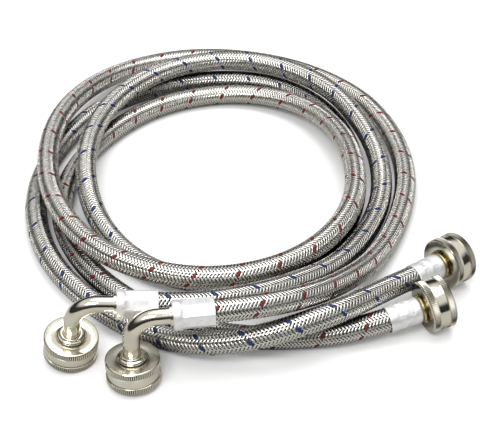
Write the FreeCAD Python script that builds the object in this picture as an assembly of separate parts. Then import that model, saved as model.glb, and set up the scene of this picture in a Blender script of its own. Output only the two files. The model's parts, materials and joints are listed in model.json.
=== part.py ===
import FreeCAD
import Part
import math
import os

# A pair of steel-braided washing machine supply hoses, hot and cold, wound together into a
# loose coil of two turns that lies on a flat surface.  Each hose has a bent tube elbow with a
# swivel nut at one end and a straight stem with a swivel nut at the other end.
#
# Frame: millimetres, +Z up, the coil lies on z = 0.  The origin is on that surface, under the
# middle of the four end fittings.  The elbows are on the -X side, the straight ends on +X.

Vector = FreeCAD.Vector
UP = Vector(0, 0, 1)

# ---- hose ------------------------------------------------------------------------------
HOSE_R = 7.5            # outside of the steel braid
LINER_R = 6.8           # outside of the rubber liner, inside of the braid
LINER_BORE_R = 4.7      # waterway of the liner
ARC_SHARE = 0.45        # share of the shorter run that an arc takes on each side of its point

# Hose centrelines, from the elbow's ferrule round the coil to the straight end's ferrule.
# The two hoses rest on the surface at z = 7.5 and on each other at about z = 23.5.
HOT_ROUTE = [
    (-54, -38.5, 45.2), (-13, -32.5, 45.2), (21, -16.5, 39), (48, 13.5, 25.5),
    (73, 55.5, 10), (92, 100.5, 7.5), (102, 149.5, 7.5), (97, 202.5, 7.5), (74, 258.5, 7.5),
    (21, 303.5, 7.5), (-51, 318.5, 7.5), (-112, 291.5, 11), (-146, 230.5, 22),
    (-157, 167.5, 24.5), (-145, 96.5, 24), (-106, 39.5, 24), (-41, 14.5, 23.5),
    (24, 35.5, 23.5), (63, 95.5, 23.5), (62, 171.5, 23.5), (32, 237.5, 13),
    (-26, 263.5, 7.5), (-90, 240.5, 7.5), (-133, 179.5, 7.5), (-145, 110.5, 7.5),
    (-120, 48.5, 7.5), (-73, 2.5, 7.5), (-26, -17, 7.5), (20, -18, 7.5),
    (56.5, -14.5, 11.3), (92, -1.8, 15.95),
]
COLD_ROUTE = [
    (-88, -26.5, 42.8), (-46, -21.5, 37.8), (-13, -6.5, 31), (15, 12.5, 24), (46, 43.5, 13),
    (72, 91.5, 7.5), (84, 135.5, 9), (80, 181.5, 18), (50, 247.5, 24.5), (-8, 287.5, 23.5),
    (-72, 276.5, 24), (-117, 223.5, 24.5), (-131, 151.5, 22), (-113, 84.5, 9),
    (-65, 34.5, 7.5), (7, 33.5, 7.5), (55, 84.5, 7.5), (68, 153.5, 7.5), (56, 225.5, 7.5),
    (13, 276.5, 7.5), (-54, 282.5, 7.5), (-120, 249.5, 7.5), (-153, 189.5, 7.5),
    (-163, 122.5, 7.5), (-145, 55.5, 7.5), (-102, 3.5, 7.5), (-56, -25.5, 9.5),
    (-12, -37, 22.5), (40, -21.5, 30.8), (74, 13, 18.6), (108.5, 38, 17.25),
]
HOT_ELBOW_ROLL = 5.0    # degrees that the elbow's nut leans about the ferrule's axis, + to the back
COLD_ELBOW_ROLL = -6.0

# ---- swivel nut, 3/4 inch garden hose thread ----------------------------------------------
NUT_R = 16.5            # over the knurls
NUT_BAND_R = 15.9       # plain band between the two knurled bands
NUT_HEIGHT = 16.0
NUT_MOUTH_CHAMFER = 1.0
NUT_KNURL_END = 4.6     # height at which the mouth's knurled band ends
NUT_KNURL_START = 11.2  # height at which the back's knurled band starts
NUT_BACK_BEVEL = 0.6
NUT_STEP = 0.3          # slope between the knurled bands and the plain band
NUT_THREAD_R = 12.3     # crests of the female thread
NUT_THREAD_END = 8.6    # depth of the thread from the mouth
NUT_SEAT_R = 12.6       # relief above the thread, where the washer and the flange sit
NUT_LIP = 2.0           # thickness of the inward lip that holds the stem's flange
NUT_HOLE_R = 9.4        # hole in the lip
NUT_PLAY = 1.2          # how far the nut slides back along its stem

# ---- stem, flange and washer ---------------------------------------------------------------
FLANGE_R = 11.9
FLANGE_T = 1.6
WASHER_R = 12.3
WASHER_BORE_R = 6.5
WASHER_T = 2.4
WASHER_GAP = 0.05
STEM_BORE_R = 3.9
BARB_R = LINER_BORE_R
BARB_GROOVE_R = 4.4
BARB_PITCH = 3.5
BARB_LENGTH = 17.5

# ---- elbow -----------------------------------------------------------------------------
ELBOW_TUBE_R = 5.15
ELBOW_BORE_R = 4.15
ELBOW_BEND_R = 15.0
ELBOW_LEG = 25.0        # from the nut's axis to the ferrule's mouth
ELBOW_RISE = 28.0       # from the nut's back to the ferrule's axis
ELBOW_BEAD_R = 6.5
ELBOW_BEAD_T = 1.6
HUB_R = 8.0             # tailpiece in the nut's hole
HUB_STEP_R = 7.0
HUB_RISE = 2.0          # how far the hub stands out of the nut's back
HUB_STEP_RISE = 3.2
HUB_SOCKET_DEPTH = 5.8  # depth of the socket that the tube is brazed into

# ---- ferrules ----------------------------------------------------------------------------
FERRULE_WALL = 1.5      # end wall that the hose butts against
ELBOW_FERRULE_L = 24.5
ELBOW_COLLAR_R = 9.2
ELBOW_COLLAR_L = 4.5
ELBOW_CRIMP_FLAT = 8.35   # from the axis to each of the crimp's eight flats
ELBOW_CRIMP_CORNER = 8.95
CRIMP_SIDES = 8
STRAIGHT_FERRULE_L = 21.5
STRAIGHT_FERRULE_R = 8.45
STRAIGHT_NOSE = 1.8       # rounding of the straight ferrule's front
DENT_DEPTH = 0.4
DENT_WIDTH = 4.6
DENT_LENGTH = 4.4
DENT_STARTS = (4.6, 11.6)  # from the straight ferrule's front to each ring of dents

# ---- straight stem ---------------------------------------------------------------------
STRAIGHT_REACH = 4.1    # from the end of the hose to the nut's back
NECK_R = 7.4
RING_R = 8.9
RING_L = 1.6

FLANGE_TOP = NUT_HEIGHT - NUT_LIP
FLANGE_BOTTOM = FLANGE_TOP - FLANGE_T
WASHER_TOP = FLANGE_BOTTOM - NUT_PLAY - WASHER_GAP


def revolved(profile):
    """Solid turned about Z from (radius, height) points."""
    points = [Vector(radius, 0, height) for radius, height in profile]
    face = Part.Face(Part.makePolygon(points + points[:1]))
    return face.revolve(Vector(0, 0, 0), UP, 360)


def rod(radius, start, end):
    return Part.makeCylinder(radius, end - start, Vector(0, 0, start), UP)


def frame_at(origin, z_axis, x_hint):
    """Placement whose Z is z_axis and whose X is as near to x_hint as it can be."""
    z_axis = Vector(z_axis).normalize()
    y_axis = z_axis.cross(x_hint).normalize()
    x_axis = y_axis.cross(z_axis)
    return FreeCAD.Placement(FreeCAD.Matrix(
        x_axis.x, y_axis.x, z_axis.x, origin.x,
        x_axis.y, y_axis.y, z_axis.y, origin.y,
        x_axis.z, y_axis.z, z_axis.z, origin.z,
        0, 0, 0, 1))


def placed(shape, placement):
    moved = shape.copy()
    moved.transformShape(placement.toMatrix())
    return moved


# ---- hose path -----------------------------------------------------------------------------
def hose_path(route, name):
    """Straight runs joined by tangent arcs, each as large as its two runs allow."""
    points = [Vector(*point) for point in route]
    edges = []
    radii = []
    run_start = points[0]
    for before, corner, after in zip(points, points[1:], points[2:]):
        back = before - corner
        ahead = after - corner
        reach = ARC_SHARE * min(back.Length, ahead.Length)
        half_turn = (math.pi - back.getAngle(ahead)) / 2
        radius = reach / math.tan(half_turn)
        back.normalize()
        ahead.normalize()
        inward = (back + ahead).normalize()
        middle = corner + inward * (math.hypot(radius, reach) - radius)
        arc_start = corner + back * reach
        arc_end = corner + ahead * reach
        edges.append(Part.LineSegment(run_start, arc_start).toShape())
        edges.append(Part.Arc(arc_start, middle, arc_end).toShape())
        radii.append(radius)
        run_start = arc_end
    edges.append(Part.LineSegment(run_start, points[-1]).toShape())
    path = Part.Wire(edges)
    print(f"{name}: length {path.Length:.0f} mm, least radius {min(radii):.0f} mm")
    print("  radii", " ".join(f"{radius:.0f}" for radius in radii))
    return path


def swept_rod(path, route, radius):
    start = Vector(*route[0])
    disc = Part.Face(Part.Wire(Part.makeCircle(radius, start, Vector(*route[1]) - start)))
    return path.makePipe(disc)


def hose_layers(name, route):
    path = hose_path(route, name)
    outer = swept_rod(path, route, HOSE_R)
    middle = swept_rod(path, route, LINER_R)
    bore = swept_rod(path, route, LINER_BORE_R)
    layers = {
        f"{name}_braid": (outer.cut(middle), HOSE_R, LINER_R),
        f"{name}_inner_tube": (middle.cut(bore), LINER_R, LINER_BORE_R),
    }
    for node, (solid, outside, inside) in layers.items():
        expected = math.pi * (outside ** 2 - inside ** 2) * path.Length
        print(f"  {node}: volume is {solid.Volume / expected:.4f} of section times length")
    return {node: layer[0] for node, layer in layers.items()}


# ---- fittings, each about Z with the nut's mouth at z = 0 -------------------------------------
def swivel_nut():
    outline = [
        (NUT_THREAD_R, 0),
        (NUT_R - NUT_MOUTH_CHAMFER, 0),
        (NUT_R, NUT_MOUTH_CHAMFER),
        (NUT_R, NUT_KNURL_END),
        (NUT_BAND_R, NUT_KNURL_END + NUT_STEP),
        (NUT_BAND_R, NUT_KNURL_START - NUT_STEP),
        (NUT_R, NUT_KNURL_START),
        (NUT_R, NUT_HEIGHT - NUT_BACK_BEVEL),
        (NUT_R - NUT_BACK_BEVEL, NUT_HEIGHT),
        (NUT_HOLE_R, NUT_HEIGHT),
        (NUT_HOLE_R, FLANGE_TOP),
        (NUT_SEAT_R, FLANGE_TOP),
        (NUT_SEAT_R, NUT_THREAD_END),
        (NUT_THREAD_R, NUT_THREAD_END),
    ]
    return revolved(outline)


def washer():
    return rod(WASHER_R, WASHER_TOP - WASHER_T, WASHER_TOP).cut(
        rod(WASHER_BORE_R, WASHER_TOP - WASHER_T, WASHER_TOP))


def elbow_tailpiece():
    """Flanged hub that the elbow's tube is brazed into."""
    hub_top = NUT_HEIGHT + HUB_RISE
    socket_top = NUT_HEIGHT + HUB_STEP_RISE
    socket_floor = socket_top - HUB_SOCKET_DEPTH
    return revolved([
        (ELBOW_BORE_R, FLANGE_BOTTOM),
        (FLANGE_R, FLANGE_BOTTOM),
        (FLANGE_R, FLANGE_TOP),
        (HUB_R, FLANGE_TOP),
        (HUB_R, hub_top),
        (HUB_STEP_R, hub_top),
        (HUB_STEP_R, socket_top),
        (ELBOW_TUBE_R, socket_top),
        (ELBOW_TUBE_R, socket_floor),
        (ELBOW_BORE_R, socket_floor),
    ])


def barb(start):
    """Grooved spigot that goes into the hose, from z = start upwards."""
    outline = [(STEM_BORE_R, start), (BARB_R, start)]
    groove = start + BARB_PITCH
    while groove < start + BARB_LENGTH:
        outline += [(BARB_R, groove), (BARB_GROOVE_R, groove), (BARB_R, groove + BARB_PITCH / 2)]
        groove += BARB_PITCH
    tip = start + BARB_LENGTH + BARB_PITCH / 2
    outline += [(BARB_R, tip), (BARB_GROOVE_R, tip + 1), (STEM_BORE_R, tip + 1)]
    return revolved(outline)


def elbow_tube():
    """Bent tube: up out of the tailpiece, round the bend, and along +X into the ferrule."""
    foot = NUT_HEIGHT + HUB_STEP_RISE - HUB_SOCKET_DEPTH
    axis_height = NUT_HEIGHT + ELBOW_RISE
    bend_low = Vector(0, 0, axis_height - ELBOW_BEND_R)
    bend_high = Vector(ELBOW_BEND_R, 0, axis_height)
    slope = ELBOW_BEND_R * math.sqrt(0.5)
    bend_middle = Vector(ELBOW_BEND_R - slope, 0, axis_height - ELBOW_BEND_R + slope)
    leg_end = Vector(ELBOW_LEG, 0, axis_height)
    path = Part.Wire([
        Part.LineSegment(Vector(0, 0, foot), bend_low).toShape(),
        Part.Arc(bend_low, bend_middle, bend_high).toShape(),
        Part.LineSegment(bend_high, leg_end).toShape(),
    ])
    discs = [Part.Face(Part.Wire(Part.makeCircle(radius, Vector(0, 0, foot), UP)))
             for radius in (ELBOW_TUBE_R, ELBOW_BORE_R)]
    outer, bore = [path.makePipe(disc) for disc in discs]
    along_leg = frame_at(Vector(0, 0, axis_height), Vector(1, 0, 0), UP)
    bead = rod(ELBOW_BEAD_R, ELBOW_LEG - ELBOW_BEAD_T, ELBOW_LEG)
    spigot = barb(ELBOW_LEG)
    tube = outer.fuse(placed(bead, along_leg)).cut(bore)
    return tube.fuse(placed(spigot, along_leg)).removeSplitter()


def straight_stem():
    """Straight stem: flange in the nut, neck, ring in front of the ferrule, grooved spigot."""
    ferrule_front = NUT_HEIGHT + STRAIGHT_REACH - FERRULE_WALL
    ring_start = ferrule_front - RING_L
    body = revolved([
        (STEM_BORE_R, FLANGE_BOTTOM),
        (FLANGE_R, FLANGE_BOTTOM),
        (FLANGE_R, FLANGE_TOP),
        (NECK_R, FLANGE_TOP),
        (NECK_R, ring_start),
        (RING_R - 0.4, ring_start),
        (RING_R, ring_start + 0.4),
        (RING_R, ferrule_front),
        (STEM_BORE_R, ferrule_front),
    ])
    return body.fuse(barb(ferrule_front)).removeSplitter()


def elbow_ferrule():
    """Crimped sleeve, mouth at z = 0: a round collar, then eight pressed flats."""
    cone_end = ELBOW_COLLAR_L + ELBOW_COLLAR_R - ELBOW_CRIMP_FLAT
    collar = revolved([
        (0, 0),
        (ELBOW_COLLAR_R - 0.6, 0),
        (ELBOW_COLLAR_R, 0.6),
        (ELBOW_COLLAR_R, ELBOW_COLLAR_L),
        (ELBOW_CRIMP_FLAT, cone_end),
        (0, cone_end),
    ])
    corner = ELBOW_CRIMP_FLAT / math.cos(math.pi / CRIMP_SIDES)
    flats = []
    for side in range(CRIMP_SIDES + 1):
        angle = 2 * math.pi * (side + 0.5) / CRIMP_SIDES
        flats.append(Vector(corner * math.cos(angle), corner * math.sin(angle), ELBOW_COLLAR_L))
    prism = Part.Face(Part.makePolygon(flats)).extrude(UP * (ELBOW_FERRULE_L - ELBOW_COLLAR_L))
    crimp = prism.common(rod(ELBOW_CRIMP_CORNER, ELBOW_COLLAR_L, ELBOW_FERRULE_L))
    sleeve = collar.fuse(crimp)
    sleeve = sleeve.cut(rod(BARB_R, 0, FERRULE_WALL))
    return sleeve.cut(rod(HOSE_R, FERRULE_WALL, ELBOW_FERRULE_L)).removeSplitter()


def straight_ferrule():
    """Crimped sleeve, front at z = 0: a rounded nose and two rings of pressed dents."""
    sleeve = rod(STRAIGHT_FERRULE_R, 0, STRAIGHT_FERRULE_L)
    sleeve = sleeve.makeFillet(STRAIGHT_NOSE, [min(sleeve.Edges, key=lambda e: e.CenterOfMass.z)])
    floor = STRAIGHT_FERRULE_R - DENT_DEPTH
    for start in DENT_STARTS:
        for side in range(CRIMP_SIDES):
            dent = Part.makeBox(DENT_DEPTH * 4, DENT_WIDTH, DENT_LENGTH,
                                Vector(floor, -DENT_WIDTH / 2, start))
            dent.rotate(Vector(0, 0, 0), UP, 360 * side / CRIMP_SIDES)
            sleeve = sleeve.cut(dent)
    sleeve = sleeve.cut(rod(BARB_R, 0, FERRULE_WALL))
    return sleeve.cut(rod(HOSE_R, FERRULE_WALL, STRAIGHT_FERRULE_L))


# ---- placing the ends --------------------------------------------------------------------------
def elbow_end(name, route, roll):
    """The pieces at the elbow's end, where the hose's first run leaves the ferrule."""
    hose_start = Vector(*route[0])
    outward = (Vector(*route[1]) - hose_start).normalize()
    upright = UP - outward * UP.dot(outward)
    upright.normalize()
    nut_axis = FreeCAD.Rotation(outward, -roll).multVec(upright)
    ferrule_mouth = hose_start - outward * FERRULE_WALL
    corner = ferrule_mouth - outward * ELBOW_LEG
    mouth = corner - nut_axis * (NUT_HEIGHT + ELBOW_RISE)
    at_nut = frame_at(mouth, nut_axis, outward)
    at_ferrule = frame_at(ferrule_mouth, outward, nut_axis)
    return mouth, nut_axis, {
        f"{name}_elbow_nut": placed(swivel_nut(), at_nut),
        f"{name}_elbow_washer": placed(washer(), at_nut),
        f"{name}_elbow_tailpiece": placed(elbow_tailpiece(), at_nut),
        f"{name}_elbow_tube": placed(elbow_tube(), at_nut),
        f"{name}_elbow_ferrule": placed(elbow_ferrule(), at_ferrule),
    }


def straight_end(name, route):
    """The pieces at the straight end, where the hose's last run enters the ferrule."""
    hose_end = Vector(*route[-1])
    inward = (Vector(*route[-2]) - hose_end).normalize()
    mouth = hose_end - inward * (STRAIGHT_REACH + NUT_HEIGHT)
    at_nut = frame_at(mouth, inward, UP)
    at_ferrule = frame_at(hose_end - inward * FERRULE_WALL, inward, UP)
    return mouth, inward, {
        f"{name}_straight_nut": placed(swivel_nut(), at_nut),
        f"{name}_straight_washer": placed(washer(), at_nut),
        f"{name}_straight_stem": placed(straight_stem(), at_nut),
        f"{name}_straight_ferrule": placed(straight_ferrule(), at_ferrule),
    }


def hose_assembly(name, route, roll):
    nodes = hose_layers(name, route)
    for end, (mouth, axis, pieces) in (("elbow", elbow_end(name, route, roll)),
                                       ("straight", straight_end(name, route))):
        print(f"  {end} nut: mouth centre {mouth.x:.3f} {mouth.y:.3f} {mouth.z:.3f},"
              f" axis towards the hose {axis.x:.5f} {axis.y:.5f} {axis.z:.5f}")
        nodes.update(pieces)
    return nodes


os.makedirs("parts", exist_ok=True)
all_nodes = hose_assembly("hot", HOT_ROUTE, HOT_ELBOW_ROLL)
all_nodes.update(hose_assembly("cold", COLD_ROUTE, COLD_ELBOW_ROLL))
fittings = Part.makeCompound([shape for node, shape in all_nodes.items()
                              if not node.endswith(("_braid", "_inner_tube"))])
box = fittings.BoundBox
print(f"fittings: x {box.XMin:.2f} {box.XMax:.2f}, y {box.YMin:.2f} {box.YMax:.2f}, z from {box.ZMin:.2f}")
for node, shape in all_nodes.items():
    lowest = shape.optimalBoundingBox(False).ZMin
    print(f"{node}: valid {shape.isValid()}, {len(shape.Solids)} solid,"
          f" {shape.Volume:.0f} mm3, lowest {lowest:.2f}")
    solid = shape.Solids[0] if len(shape.Solids) == 1 else shape
    solid.exportStep(f"parts/{node}.step")
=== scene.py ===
import json
import math

import bpy
import numpy as np
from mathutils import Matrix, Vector


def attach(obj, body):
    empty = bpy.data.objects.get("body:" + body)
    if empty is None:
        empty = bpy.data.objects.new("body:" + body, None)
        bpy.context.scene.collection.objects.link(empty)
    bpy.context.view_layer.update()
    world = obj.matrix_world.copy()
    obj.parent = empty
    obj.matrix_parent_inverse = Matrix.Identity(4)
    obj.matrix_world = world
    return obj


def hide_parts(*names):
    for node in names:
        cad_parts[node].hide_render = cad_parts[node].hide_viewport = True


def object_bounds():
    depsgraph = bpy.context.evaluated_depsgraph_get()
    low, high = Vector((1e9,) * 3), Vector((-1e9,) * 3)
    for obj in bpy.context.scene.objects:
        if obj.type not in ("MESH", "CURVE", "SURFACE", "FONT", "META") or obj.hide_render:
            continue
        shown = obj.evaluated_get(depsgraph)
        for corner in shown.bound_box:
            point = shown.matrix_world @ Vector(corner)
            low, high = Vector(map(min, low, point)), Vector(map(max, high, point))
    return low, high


# The looks of a pair of steel-braided washing machine hoses, in metres, in the CAD part's frame.

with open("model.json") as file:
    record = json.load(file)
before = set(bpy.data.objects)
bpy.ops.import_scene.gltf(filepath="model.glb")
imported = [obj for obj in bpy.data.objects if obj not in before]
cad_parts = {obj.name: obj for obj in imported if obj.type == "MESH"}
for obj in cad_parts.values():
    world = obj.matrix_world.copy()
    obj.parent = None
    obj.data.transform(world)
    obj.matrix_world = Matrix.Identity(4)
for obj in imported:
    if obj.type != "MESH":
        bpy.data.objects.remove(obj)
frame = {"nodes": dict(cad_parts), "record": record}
cad_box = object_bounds()
MM = 0.001

# ---- hose routes, from the elbow's ferrule round the coil to the straight end's ferrule --------
ROUTES = {
    "hot": [
        (-0.054, -0.0385, 0.0452), (-0.013, -0.0325, 0.0452), (0.021, -0.0165, 0.039),
        (0.048, 0.0135, 0.0255), (0.073, 0.0555, 0.01), (0.092, 0.1005, 0.0075),
        (0.102, 0.1495, 0.0075), (0.097, 0.2025, 0.0075), (0.074, 0.2585, 0.0075),
        (0.021, 0.3035, 0.0075), (-0.051, 0.3185, 0.0075), (-0.112, 0.2915, 0.011),
        (-0.146, 0.2305, 0.022), (-0.157, 0.1675, 0.0245), (-0.145, 0.0965, 0.024),
        (-0.106, 0.0395, 0.024), (-0.041, 0.0145, 0.0235), (0.024, 0.0355, 0.0235),
        (0.063, 0.0955, 0.0235), (0.062, 0.1715, 0.0235), (0.032, 0.2375, 0.013),
        (-0.026, 0.2635, 0.0075), (-0.09, 0.2405, 0.0075), (-0.133, 0.1795, 0.0075),
        (-0.145, 0.1105, 0.0075), (-0.12, 0.0485, 0.0075), (-0.073, 0.0025, 0.0075),
        (-0.026, -0.017, 0.0075), (0.02, -0.018, 0.0075), (0.0565, -0.0145, 0.0113),
        (0.092, -0.0018, 0.01595),
    ],
    "cold": [
        (-0.088, -0.0265, 0.0428), (-0.046, -0.0215, 0.0378), (-0.013, -0.0065, 0.031),
        (0.015, 0.0125, 0.024), (0.046, 0.0435, 0.013), (0.072, 0.0915, 0.0075),
        (0.084, 0.1355, 0.009), (0.08, 0.1815, 0.018), (0.05, 0.2475, 0.0245),
        (-0.008, 0.2875, 0.0235), (-0.072, 0.2765, 0.024), (-0.117, 0.2235, 0.0245),
        (-0.131, 0.1515, 0.022), (-0.113, 0.0845, 0.009), (-0.065, 0.0345, 0.0075),
        (0.007, 0.0335, 0.0075), (0.055, 0.0845, 0.0075), (0.068, 0.1535, 0.0075),
        (0.056, 0.2255, 0.0075), (0.013, 0.2765, 0.0075), (-0.054, 0.2825, 0.0075),
        (-0.12, 0.2495, 0.0075), (-0.153, 0.1895, 0.0075), (-0.163, 0.1225, 0.0075),
        (-0.145, 0.0555, 0.0075), (-0.102, 0.0035, 0.0075), (-0.056, -0.0255, 0.0095),
        (-0.012, -0.037, 0.0225), (0.04, -0.0215, 0.0308), (0.0735, 0.0143, 0.0186),
        (0.1085, 0.038, 0.01725),
    ],
}

# ---- braid: 24 carriers of parallel wires, twelve each way, two over and two under -------------
CARRIERS = 12            # each way
BRAID_LEAD = {"hot": 26.4 * MM, "cold": 28 * MM}    # length of hose for one turn of a carrier
STEPS_PER_LEAD = 24      # one for each crossing
CARRIER_WIDTH = 1.6 * MM
TRACER_WIDTH = 1.95 * MM
CARRIER_CROWN = 0.26 * MM
CARRIER_OVER_R = 7.49 * MM
CARRIER_UNDER_R = 7.12 * MM
CORE_R = 6.82 * MM
WIRES = 5                # in one carrier
CREVICE_REACH = 14 * MM  # how near other surfaces are that darken the wires with painted shade
# the coloured carrier of each hose: which way it winds, and its number
TRACERS = {"hot": (-1, 0), "cold": (1, 0)}

# ---- fittings: the nut's frame has its mouth at z = 0 -----------------------------------------
NUT_HEIGHT = 16 * MM
THREAD_PITCH = 2.209 * MM
THREAD_CREST_R = 12.3 * MM
THREAD_ROOT_R = 13.6 * MM
THREAD_END = 8.6 * MM
KNURL_TEETH = 80
STEPS_PER_TOOTH = 6
KNURL_DEPTH = 0.6 * MM
FERRULE_WALL = 1.5 * MM

# ---- camera ----------------------------------------------------------------------------------
CAMERA_TARGET = Vector((-0.0107, 0.1098, 0))
CAMERA_ELEVATION = math.radians(38)
CAMERA_DISTANCE = 0.876
CAMERA_LENS = 90.94      # millimetres, for a sensor 36 millimetres wide


# ---- mesh helpers ----------------------------------------------------------------------------
def mesh_object(name, vertices, faces, attributes=(), sharp_degrees=40):
    mesh = bpy.data.meshes.new(name)
    mesh.from_pydata(np.asarray(vertices).tolist(), [], np.asarray(faces).tolist()
                     if isinstance(faces, np.ndarray) else faces)
    for key, values in attributes:
        layer = mesh.attributes.new(key, "FLOAT", "POINT")
        layer.data.foreach_set("value", np.asarray(values, dtype=np.float32).ravel())
    mesh.shade_smooth()
    if sharp_degrees:
        mesh.set_sharp_from_angle(angle=math.radians(sharp_degrees))
    mesh.update()
    thing = bpy.data.objects.new(name, mesh)
    bpy.context.scene.collection.objects.link(thing)
    return thing


def axes_at(z_axis, x_hint):
    """Columns X, Y, Z of a frame whose Z is z_axis and whose X is as near to x_hint as it can be."""
    z_axis = np.array(z_axis, float)
    z_axis /= np.linalg.norm(z_axis)
    y_axis = np.cross(z_axis, np.array(x_hint, float))
    y_axis /= np.linalg.norm(y_axis)
    return np.stack([np.cross(y_axis, z_axis), y_axis, z_axis], axis=1)


def rounded(corners, radius, steps=4):
    """A closed (radius, height) outline with its corners cut by small curves."""
    points = []
    for before, corner, after in zip(corners[-1:] + corners[:-1], corners, corners[1:] + corners[:1]):
        corner = np.array(corner, float)
        back = np.array(before, float) - corner
        ahead = np.array(after, float) - corner
        reach = min(radius, 0.4 * np.linalg.norm(back), 0.4 * np.linalg.norm(ahead))
        start = corner + back / np.linalg.norm(back) * reach
        end = corner + ahead / np.linalg.norm(ahead) * reach
        for t in np.linspace(0, 1, steps):
            points.append((1 - t) ** 2 * start + 2 * t * (1 - t) * corner + t * t * end)
    return points


def turned(name, outline, origin, axes, segments, shape=None):
    """A closed outline turned about Z. shape changes the radius with the angle and the height."""
    outline = np.array(outline, float)
    angles = np.arange(segments) * 2 * math.pi / segments
    radius = np.repeat(outline[:, 0][:, None], segments, axis=1)
    height = np.repeat(outline[:, 1][:, None], segments, axis=1)
    uncut = radius
    if shape:
        radius = shape(radius, height, np.repeat(angles[None], len(outline), axis=0))
    local = np.stack([radius * np.cos(angles), radius * np.sin(angles), height], axis=2)
    vertices = local.reshape(-1, 3) @ axes.T + np.array(origin, float)
    row = np.arange(len(outline))[:, None] * segments
    next_row = (np.arange(1, len(outline) + 1) % len(outline))[:, None] * segments
    here = np.arange(segments)[None]
    there = (here + 1) % segments
    faces = np.stack([row + here, next_row + here, next_row + there, row + there], axis=2)
    return mesh_object(name, vertices, faces.reshape(-1, 4),
                       [("turn_radius", radius), ("turn_height", height), ("cut_depth", uncut - radius)])


# ---- materials -------------------------------------------------------------------------------
def material(name, colour, metallic, roughness):
    """A material with a Principled shader, and helpers to add nodes to it."""
    new = bpy.data.materials.new(name)
    new.use_nodes = True
    tree = new.node_tree
    shader = tree.nodes["Principled BSDF"]
    shader.inputs["Base Color"].default_value = (*colour, 1)
    shader.inputs["Metallic"].default_value = metallic
    shader.inputs["Roughness"].default_value = roughness
    return new, tree, shader


def math_node(tree, operation, first, second=None):
    node = tree.nodes.new("ShaderNodeMath")
    node.operation = operation
    for socket, value in zip(node.inputs, (first, second)):
        if isinstance(value, bpy.types.NodeSocket):
            tree.links.new(value, socket)
        elif value is not None:
            socket.default_value = value
    return node.outputs[0]


def noise(tree, scale, detail=4.0, stretch=None):
    texture = tree.nodes.new("ShaderNodeTexNoise")
    texture.inputs["Scale"].default_value = scale
    texture.inputs["Detail"].default_value = detail
    place = tree.nodes.new("ShaderNodeTexCoord").outputs["Object"]
    if stretch:
        mapping = tree.nodes.new("ShaderNodeMapping")
        mapping.inputs["Scale"].default_value = stretch
        tree.links.new(place, mapping.inputs["Vector"])
        place = mapping.outputs["Vector"]
    tree.links.new(place, texture.inputs["Vector"])
    return texture.outputs["Fac"]


def ramp(tree, factor, stops):
    node = tree.nodes.new("ShaderNodeValToRGB")
    tree.links.new(factor, node.inputs["Fac"])
    elements = node.color_ramp.elements
    while len(elements) < len(stops):
        elements.new(0.5)
    for element, (position, colour) in zip(elements, stops):
        element.position = position
        element.color = (*colour, 1) if hasattr(colour, "__len__") else (colour, colour, colour, 1)
    return node.outputs["Color"]


def bump(tree, shader, height, strength, distance, below=None):
    node = tree.nodes.new("ShaderNodeBump")
    node.inputs["Strength"].default_value = strength
    node.inputs["Distance"].default_value = distance
    tree.links.new(height, node.inputs["Height"])
    if below:
        tree.links.new(below, node.inputs["Normal"])
    tree.links.new(node.outputs["Normal"], shader.inputs["Normal"])
    return node.outputs["Normal"]


def attribute(tree, name):
    node = tree.nodes.new("ShaderNodeAttribute")
    node.attribute_name = name
    return node.outputs["Fac"]


def wire_material(name, bright, groove_shade, roughness, metallic=1.0):
    """Parallel round wires laid side by side across a carrier, with painted shade in the grooves between
    the wires and in the coil's crevices.
    """
    new, tree, shader = material(name, bright, metallic, roughness)
    across = math_node(tree, "MULTIPLY", attribute(tree, "across"), float(WIRES))
    offset = math_node(tree, "SUBTRACT", math_node(tree, "FRACT", across), 0.5)
    half = math_node(tree, "ABSOLUTE", offset)
    square = math_node(tree, "MULTIPLY", math_node(tree, "POWER", half, 2.0), 4.0)
    wire = math_node(tree, "SQRT", math_node(tree, "SUBTRACT", 1.02, square))
    # each wire's height sets its colour: painted shade in the grooves between wires, and noise gives a
    # tone that differs at random
    groove_shade_and_tone = math_node(tree, "MULTIPLY", wire, math_node(tree, "ADD", noise(tree, 300, 2), 0.5))
    # ambient occlusion darkens the wire colour where other surfaces are near: painted shade in the coil's
    # crevices
    hollow = tree.nodes.new("ShaderNodeAmbientOcclusion")
    hollow.samples = 6
    hollow.inputs["Distance"].default_value = CREVICE_REACH
    shade = ramp(tree, hollow.outputs["AO"], [(0.2, 0.03), (0.7, 1.0)])
    painted_shade = tree.nodes.new("ShaderNodeMixRGB")
    painted_shade.blend_type = "MULTIPLY"
    painted_shade.inputs["Fac"].default_value = 1
    tree.links.new(ramp(tree, groove_shade_and_tone, [(0.05, groove_shade), (0.6, bright)]), painted_shade.inputs["Color1"])
    tree.links.new(shade, painted_shade.inputs["Color2"])
    tree.links.new(painted_shade.outputs["Color"], shader.inputs["Base Color"])
    rough = ramp(tree, noise(tree, 250, 3), [(0.3, roughness * 0.75), (0.7, roughness * 1.35)])
    tree.links.new(rough, shader.inputs["Roughness"])
    bump(tree, shader, wire, 0.3, 0.06 * MM)
    return new


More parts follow.
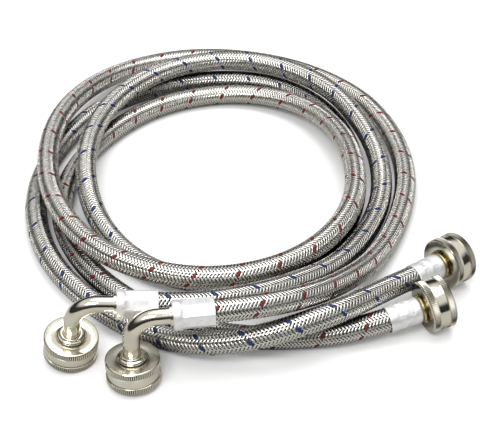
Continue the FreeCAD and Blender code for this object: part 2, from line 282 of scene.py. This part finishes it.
def plated_material(name, colour, shade, roughness):
    """Polished plating with fine turning lines, hairline scratches and a little tarnish."""
    new, tree, shader = material(name, colour, 1.0, roughness)
    tarnish = ramp(tree, noise(tree, 60, 5), [(0.35, colour), (0.8, shade)])
    # the cut knurl valleys are coloured near black: painted shade in the recesses between the teeth
    cut = math_node(tree, "MULTIPLY", attribute(tree, "cut_depth"), 1 / KNURL_DEPTH)
    painted_shade = tree.nodes.new("ShaderNodeMixRGB")
    tree.links.new(ramp(tree, cut, [(0.3, 0.0), (0.8, 0.95)]), painted_shade.inputs["Fac"])
    tree.links.new(tarnish, painted_shade.inputs["Color1"])
    # near-black colour of the painted shade in the knurl valleys
    painted_shade.inputs["Color2"].default_value = (0.05, 0.045, 0.035, 1)
    tree.links.new(painted_shade.outputs["Color"], shader.inputs["Base Color"])
    smudge = ramp(tree, noise(tree, 120, 6), [(0.3, roughness * 0.7), (0.75, roughness * 1.8)])
    tree.links.new(smudge, shader.inputs["Roughness"])
    ring = math_node(tree, "MULTIPLY", math_node(
        tree, "ADD", attribute(tree, "turn_radius"), attribute(tree, "turn_height")), 26000.0)
    lines = bump(tree, shader, math_node(tree, "SINE", ring), 0.05, 0.02 * MM)
    bump(tree, shader, noise(tree, 500, 5, (1, 6, 1)), 0.06, 0.05 * MM, lines)
    return new


def sleeve_material(name, colour, shade):
    """Soft bright sleeve metal, scuffed by the crimping jaws."""
    new, tree, shader = material(name, colour, 0.55, 0.34)
    tree.links.new(ramp(tree, noise(tree, 180, 6), [(0.3, shade), (0.55, colour)]),
                   shader.inputs["Base Color"])
    tree.links.new(ramp(tree, noise(tree, 400, 4, (1, 1, 4)), [(0.3, 0.26), (0.7, 0.5)]),
                   shader.inputs["Roughness"])
    dents = bump(tree, shader, noise(tree, 160, 3), 0.25, 0.25 * MM)
    bump(tree, shader, noise(tree, 1500, 3), 0.12, 0.05 * MM, dents)
    return new


def rubber_material(name, colour):
    new, tree, shader = material(name, colour, 0.0, 0.6)
    worn = [3 * c for c in colour]
    tree.links.new(ramp(tree, noise(tree, 300, 4), [(0.3, colour), (0.8, worn)]),
                   shader.inputs["Base Color"])
    tree.links.new(ramp(tree, noise(tree, 800, 3), [(0.3, 0.5), (0.7, 0.8)]),
                   shader.inputs["Roughness"])
    bump(tree, shader, noise(tree, 2500, 3), 0.2, 0.05 * MM)
    return new


STEEL_WIRE = wire_material("steel_wire", (0.84, 0.82, 0.77), (0.04, 0.04, 0.037), 0.25)
RED_WIRE = wire_material("red_wire", (0.19, 0.006, 0.006), (0.04, 0.003, 0.003), 0.45, 0.0)
BLUE_WIRE = wire_material("blue_wire", (0.005, 0.026, 0.15), (0.002, 0.006, 0.03), 0.45, 0.0)
NICKEL = plated_material("nickel_plate", (0.83, 0.79, 0.685), (0.64, 0.60, 0.49), 0.12)
BRASS = plated_material("brass", (0.60, 0.52, 0.31), (0.40, 0.33, 0.18), 0.22)
SLEEVE = sleeve_material("crimp_sleeve", (0.98, 0.98, 0.98), (0.84, 0.85, 0.86))
LINER = rubber_material("rubber_liner", (0.012, 0.012, 0.012))
WASHER = rubber_material("rubber_washer", (0.015, 0.015, 0.015))


def finish_piece(thing, paint, slot, body, *replaced):
    thing.data.materials.append(paint)
    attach(thing, body)
    if replaced:
        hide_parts(*replaced)
    return thing


# ---- hoses -----------------------------------------------------------------------------------
def route_line(name, route):
    """Points along the smooth line that the route's points pull."""
    curve = bpy.data.curves.new(name, "CURVE")
    curve.dimensions = "3D"
    curve.resolution_u = 64
    spline = curve.splines.new("NURBS")
    spline.points.add(len(route) - 1)
    for point, place in zip(spline.points, route):
        point.co = (*place, 1)
    spline.order_u = 3
    spline.use_endpoint_u = True
    holder = bpy.data.objects.new(name, curve)
    mesh = bpy.data.meshes.new_from_object(holder)
    line = np.array([vertex.co for vertex in mesh.vertices])
    bpy.data.objects.remove(holder)
    return line


def even_steps(line, step):
    gaps = np.linalg.norm(np.diff(line, axis=0), axis=1)
    travelled = np.concatenate([[0], np.cumsum(gaps)])
    wanted = np.linspace(0, travelled[-1], round(travelled[-1] / step) + 1)
    return np.stack([np.interp(wanted, travelled, line[:, k]) for k in range(3)], axis=1), wanted


def line_frames(line):
    """Tangents, and normals that turn with the line without twisting about it."""
    tangents = np.gradient(line, axis=0)
    tangents /= np.linalg.norm(tangents, axis=1)[:, None]
    normals = np.zeros_like(line)
    normal = np.array([0.0, 0.0, 1.0])
    for k, tangent in enumerate(tangents):
        normal = normal - tangent * (normal @ tangent)
        normal /= np.linalg.norm(normal)
        normals[k] = normal
    return tangents, normals, np.cross(tangents, normals)


def core_tube(name, line, normals, binormals, segments=24):
    angles = np.arange(segments) * 2 * math.pi / segments
    ring = (normals[:, None] * np.cos(angles)[None, :, None]
            + binormals[:, None] * np.sin(angles)[None, :, None])
    vertices = (line[:, None] + CORE_R * ring).reshape(-1, 3)
    rows = np.arange(len(line) - 1)[:, None] * segments
    here = np.arange(segments)[None]
    there = (here + 1) % segments
    faces = np.stack([rows + here, rows + there, rows + there + segments, rows + here + segments],
                     axis=2).reshape(-1, 4).tolist()
    last = (len(line) - 1) * segments
    faces.append(list(range(segments))[::-1])
    faces.append([last + k for k in range(segments)])
    return mesh_object(name, vertices, faces)


def carriers(name, hand, numbers, width, line, travelled, axes):
    """Crowned bands of wire that wind round the hose, over two and under two of the others."""
    tangents, normals, binormals = axes
    lead = travelled[1] * STEPS_PER_LEAD
    slope = math.atan2(2 * math.pi * CARRIER_OVER_R, lead)
    profile = np.array([(-0.5, 1.0), (-0.27, 0.3), (0.0, 0.0), (0.27, 0.3), (0.5, 1.0)])
    sides = len(profile)
    middle = (CARRIER_OVER_R + CARRIER_UNDER_R) / 2
    swing = (CARRIER_OVER_R - CARRIER_UNDER_R) / 2
    count = len(line)
    crossings = travelled / lead * STEPS_PER_LEAD
    vertices, faces, across = [], [], []
    for number in numbers:
        # the carrier is over where its crossing count, modulo four, is 0 or 1 (one way) or 2 or 3
        phase = 2 * number + hand * crossings
        height = middle + hand * swing * np.cos((phase - 0.5) * math.pi / 2) / math.cos(math.pi / 4)
        turn = hand * 2 * math.pi * travelled / lead + 2 * math.pi * number / CARRIERS
        first = sum(len(block) for block in vertices)
        block = np.zeros((count, sides, 3))
        for side, (share, drop) in enumerate(profile):
            offset = share * width
            radius = height - drop * CARRIER_CROWN
            angle = turn - hand * offset * math.cos(slope) / middle
            block[:, side] = (line + tangents * offset * math.sin(slope)
                              + normals * (radius * np.cos(angle))[:, None]
                              + binormals * (radius * np.sin(angle))[:, None])
        vertices.append(block.reshape(-1, 3))
        across.append(np.tile(profile[:, 0] + 0.5, count))
        row = first + np.arange(count - 1)[:, None] * sides
        here = np.arange(sides)[None]
        there = (here + 1) % sides
        quads = np.stack([row + here, row + here + sides, row + there + sides, row + there], axis=2)
        faces.append(quads.reshape(-1, 4))
    return mesh_object(name, np.concatenate(vertices), np.concatenate(faces),
                       [("across", np.concatenate(across))], sharp_degrees=0)


def hose(name, route):
    line, travelled = even_steps(route_line(f"{name}_route", route), BRAID_LEAD[name] / STEPS_PER_LEAD)
    axes = line_frames(line)
    core = core_tube(f"{name}_hose_core", line, axes[1], axes[2])
    finish_piece(core, LINER, "rubber_liner", "hoses", f"{name}_braid", f"{name}_inner_tube")
    tracer_hand, tracer_number = TRACERS[name]
    for hand, word in ((1, "right"), (-1, "left")):
        numbers = [n for n in range(CARRIERS) if (hand, n) != (tracer_hand, tracer_number)]
        band = carriers(f"{name}_braid_{word}", hand, numbers, CARRIER_WIDTH, line, travelled, axes)
        finish_piece(band, STEEL_WIRE, f"{name}_braid", "hoses")
    tracer = carriers(f"{name}_tracer", tracer_hand, [tracer_number], TRACER_WIDTH, line, travelled, axes)
    paint = RED_WIRE if name == "hot" else BLUE_WIRE
    finish_piece(tracer, paint, f"{name}_braid", "hoses")


# ---- fittings --------------------------------------------------------------------------------
def nut_outline():
    """Outside bands first, then the back, the hole, the seat and the thread, back to the mouth."""
    outside = [(12.9, 0), (15.5, 0), (16.5, 1.0)]
    outside += [(16.5, z) for z in (1.3, 2.0, 3.0, 4.0, 4.3)]
    outside += [(16.45, 4.6), (15.9, 4.75), (15.85, 5.0), (15.9, 5.3), (15.9, 8), (15.9, 10.5),
                (15.85, 10.85), (15.9, 11.05), (16.45, 11.2)]
    outside += [(16.5, z) for z in (11.5, 12.2, 13.2, 14.4, 15.2)]
    outside += [(16.45, 15.45), (16.1, 15.85), (15.85, 15.97), (15.5, 16.0), (13, 16.0), (9.8, 16.0),
                (9.5, 15.9), (9.4, 15.7), (9.4, 14.0), (12.6, 14.0), (12.6, 8.7)]
    thread = [(12.3, z) for z in np.arange(8.6, 0.29, -0.22)]
    return [(r * MM, z * MM) for r, z in outside + thread + [(12.4, 0.25)]]


def nut_shape(radius, height, angle):
    """Straight knurls on the two outer bands, and the female thread inside."""
    tooth = np.clip(2.4 * np.abs((angle * KNURL_TEETH / (2 * math.pi)) % 1 - 0.5) - 0.2, 0, 1)
    knurled = radius > 16.48 * MM
    radius = np.where(knurled, radius - KNURL_DEPTH * tooth, radius)
    wave = np.abs((height / THREAD_PITCH - angle / (2 * math.pi)) % 1 - 0.5) * 2
    groove = np.clip((wave - 0.12) / 0.76, 0, 1)
    run_out = np.clip((THREAD_END - height) / (1.2 * MM), 0, 1)
    threaded = np.abs(radius - THREAD_CREST_R) < 0.01 * MM
    return np.where(threaded, radius + (THREAD_ROOT_R - THREAD_CREST_R) * groove * run_out, radius)


def hub_outline():
    return rounded([(r * MM, z * MM) for r, z in (
        (4.15, 12.4), (11.9, 12.4), (11.9, 14.0), (8.7, 14.0), (8.7, 17.2), (8.2, 17.8), (7.3, 18.2),
        (6.9, 19.2), (5.15, 19.2), (5.15, 13.4), (4.15, 13.4))], 0.35 * MM)


def stem_outline():
    return rounded([(r * MM, z * MM) for r, z in (
        (3.9, 12.4), (11.9, 12.4), (11.9, 14.0), (7.4, 14.0), (7.4, 17.0), (8.6, 17.0), (8.9, 17.4),
        (8.9, 18.2), (8.6, 18.6), (4.7, 18.6), (4.7, 37.6), (3.9, 37.6))], 0.3 * MM)


def elbow_ferrule_outline():
    outside = [(4.7, 0), (8.5, 0), (8.85, 0.08), (9.1, 0.3), (9.2, 0.8), (9.2, 2.0), (9.2, 3.4),
               (9.15, 4.2), (9.0, 4.8), (8.8, 5.4), (8.7, 6.2)]
    outside += [(8.7, z) for z in (8, 11, 14, 17, 20, 22)]
    outside += [(8.75, 23.2), (8.8, 23.9), (8.75, 24.3), (8.5, 24.5), (7.7, 24.5), (7.52, 24.2),
                (7.52, 1.5), (4.7, 1.5)]
    return [(r * MM, z * MM) for r, z in outside]


def elbow_ferrule_shape(radius, height, angle):
    """Eight pressed flats with soft corners behind the round collar."""
    sector = (angle / (math.pi / 4) + 0.5) % 1 - 0.5
    flat = 8.35 * MM / np.cos(sector * math.pi / 4)
    soft = np.minimum(flat, 8.93 * MM - 0.35 * MM * (0.5 - np.abs(sector)))
    amount = np.clip((height - 4.3 * MM) / (1.6 * MM), 0, 1)
    amount = amount * amount * (3 - 2 * amount)
    rim = np.clip((height - 22.6 * MM) / (1.2 * MM), 0, 1)
    pressed = soft + (radius - 8.7 * MM) + 0.12 * MM * rim * np.cos(angle * 8)
    lumps = 0.06 * MM * np.sin(3 * angle + 1) + 0.05 * MM * np.sin(5 * angle)
    outer = radius > 8.4 * MM
    collar = radius + lumps * (radius > 9.0 * MM)
    return np.where(outer, np.minimum(collar * (1 - amount) + pressed * amount, 9.2 * MM), radius)


def straight_ferrule_outline():
    nose = [(4.7, 0), (6.6, 0), (7.1, 0.08), (7.6, 0.3), (8.0, 0.65), (8.3, 1.15), (8.42, 1.7)]
    barrel = [(8.45, z) for z in np.arange(2.4, 20.9, 0.45)]
    end = [(8.4, 21.1), (8.2, 21.45), (7.8, 21.5), (7.55, 21.4), (7.52, 21.1), (7.52, 1.5), (4.7, 1.5)]
    return [(r * MM, z * MM) for r, z in nose + barrel + end]


def straight_ferrule_shape(radius, height, angle):
    """Two rings of eight square dents."""
    across = np.abs((angle / (math.pi / 4) + 0.5) % 1 - 0.5) * (math.pi / 4) * 8.45 * MM
    dent = np.zeros_like(radius)
    for start in (4.6, 11.6):
        along = np.abs(height - (start + 2.2) * MM)
        inside = np.clip((2.6 * MM - along) / (1.3 * MM), 0, 1)
        dent = np.maximum(dent, inside * np.clip((2.6 * MM - across) / (1.3 * MM), 0, 1))
    depth = 0.34 * MM * dent * dent * (3 - 2 * dent) * (0.75 + 0.25 * np.sin(3 * angle + height / MM))
    return np.where(radius > 8.3 * MM, radius - depth, radius)


def nut_frame(mount_name):
    """Centre of a nut's mouth, and the way from it towards the hose."""
    mount = next(m for m in frame["record"]["mounts"] if m["name"] == mount_name)
    out = np.array(mount["axis"], float)
    mouth = np.array(mount["pos_m"], float) + out * mount["dims"]["length_mm"] * MM / 2
    return mouth, -out


def nut(name, end, x_hint):
    mouth, inward = nut_frame(f"{name}_{end}_thread")
    axes = axes_at(inward, x_hint)
    piece = turned(f"{name}_{end}_knurled_nut", nut_outline(), mouth, axes,
                   KNURL_TEETH * STEPS_PER_TOOTH, nut_shape)
    finish_piece(piece, NICKEL, "nickel_plate", f"{name}_{end}_nut_swivel", f"{name}_{end}_nut")
    washer = frame["nodes"][f"{name}_{end}_washer"]
    washer.data.materials.clear()
    washer.data.materials.append(WASHER)
    return mouth, axes


def elbow_end(name, route):
    start = np.array(route[0])
    outward = np.array(route[1]) - start
    outward /= np.linalg.norm(outward)
    mouth, axes = nut(name, "elbow", outward)
    hub = turned(f"{name}_elbow_hub", hub_outline(), mouth, axes, 96)
    finish_piece(hub, NICKEL, "nickel_plate", "hoses", f"{name}_elbow_tailpiece")
    tube = frame["nodes"][f"{name}_elbow_tube"]
    tube.data.materials.clear()
    tube.data.materials.append(NICKEL)
    ferrule = turned(f"{name}_elbow_sleeve", elbow_ferrule_outline(), start - outward * FERRULE_WALL,
                     axes_at(outward, axes[:, 2]), 128, elbow_ferrule_shape)
    finish_piece(ferrule, SLEEVE, "crimp_sleeve", "hoses", f"{name}_elbow_ferrule")


def straight_end(name, route):
    mouth, axes = nut(name, "straight", (0, 0, 1))
    inward = axes[:, 2]
    stem = turned(f"{name}_straight_ring_stem", stem_outline(), mouth, axes, 96)
    finish_piece(stem, BRASS, "brass", "hoses", f"{name}_straight_stem")
    start = np.array(route[-1]) - inward * FERRULE_WALL
    ferrule = turned(f"{name}_straight_sleeve", straight_ferrule_outline(), start, axes, 128,
                     straight_ferrule_shape)
    finish_piece(ferrule, SLEEVE, "crimp_sleeve", "hoses", f"{name}_straight_ferrule")


for hose_name, hose_route in ROUTES.items():
    hose(hose_name, hose_route)
    elbow_end(hose_name, hose_route)
    straight_end(hose_name, hose_route)


# ---- floor, light and camera -----------------------------------------------------------------
def floor():
    """White paper; it throws less light back on the hoses than it shows."""
    size = 6.0
    low = cad_box[0][2]
    plane = mesh_object("floor", [(-size, -size, low), (size, -size, low), (size, size, low),
                                  (-size, size, low)], [(0, 1, 2, 3)])
    paint, tree, shader = material("floor_paper", (0.9, 0.9, 0.9), 0.0, 0.9)
    tree.links.new(ramp(tree, noise(tree, 30, 2), [(0.3, 0.89), (0.7, 0.91)]),
                   shader.inputs["Base Color"])
    shader.inputs["Emission Color"].default_value = (1, 1, 1, 1)
    shader.inputs["Emission Strength"].default_value = 0.16
    grey = tree.nodes.new("ShaderNodeBsdfDiffuse")
    grey.inputs["Color"].default_value = (0.5, 0.5, 0.48, 1)
    mix = tree.nodes.new("ShaderNodeMixShader")
    tree.links.new(tree.nodes.new("ShaderNodeLightPath").outputs["Is Camera Ray"], mix.inputs["Fac"])
    tree.links.new(grey.outputs[0], mix.inputs[1])
    tree.links.new(shader.outputs[0], mix.inputs[2])
    tree.links.new(mix.outputs[0], tree.nodes["Material Output"].inputs["Surface"])
    plane.data.materials.append(paint)


def area_light(name, place, target, size, power):
    light = bpy.data.lights.new(name, "AREA")
    light.shape = "RECTANGLE"
    light.size, light.size_y = size
    light.energy = power
    thing = bpy.data.objects.new(name, light)
    thing.location = place
    thing.rotation_euler = (Vector(target) - Vector(place)).to_track_quat("-Z", "Y").to_euler()
    bpy.context.scene.collection.objects.link(thing)


def studio_world():
    """A soft dome, dark near the horizon and bright overhead; seen directly it is plain white."""
    world = bpy.data.worlds.new("studio")
    bpy.context.scene.world = world
    world.use_nodes = True
    tree = world.node_tree
    background = tree.nodes["Background"]
    direction = tree.nodes.new("ShaderNodeSeparateXYZ")
    tree.links.new(tree.nodes.new("ShaderNodeTexCoord").outputs["Generated"], direction.inputs[0])
    dome = ramp(tree, direction.outputs["Z"], [(0.0, 0.02), (0.45, 0.05), (0.68, 1.0), (1.0, 1.0)])
    tree.links.new(dome, background.inputs["Color"])
    background.inputs["Strength"].default_value = 0.8
    plain = tree.nodes.new("ShaderNodeBackground")
    plain.inputs["Color"].default_value = (1, 1, 1, 1)
    mix = tree.nodes.new("ShaderNodeMixShader")
    tree.links.new(tree.nodes.new("ShaderNodeLightPath").outputs["Is Camera Ray"], mix.inputs["Fac"])
    tree.links.new(background.outputs[0], mix.inputs[1])
    tree.links.new(plain.outputs[0], mix.inputs[2])
    tree.links.new(mix.outputs[0], tree.nodes["World Output"].inputs["Surface"])


def camera():
    data = bpy.data.cameras.new("camera")
    data.sensor_width = 36
    data.lens = CAMERA_LENS
    thing = bpy.data.objects.new("camera", data)
    back = Vector((0, -math.cos(CAMERA_ELEVATION), math.sin(CAMERA_ELEVATION)))
    thing.location = CAMERA_TARGET + back * CAMERA_DISTANCE
    thing.rotation_euler = (math.pi / 2 - CAMERA_ELEVATION, 0, 0)
    bpy.context.scene.collection.objects.link(thing)
    bpy.context.scene.camera = thing


floor()
area_light("key", (-0.35, -0.75, 1.15), (0, 0.1, 0), (0.7, 0.35), 9)
area_light("top", (0.1, 0.25, 1.3), (0, 0.12, 0), (1.0, 0.8), 8)
studio_world()
camera()
bpy.context.scene.view_settings.view_transform = "Standard"
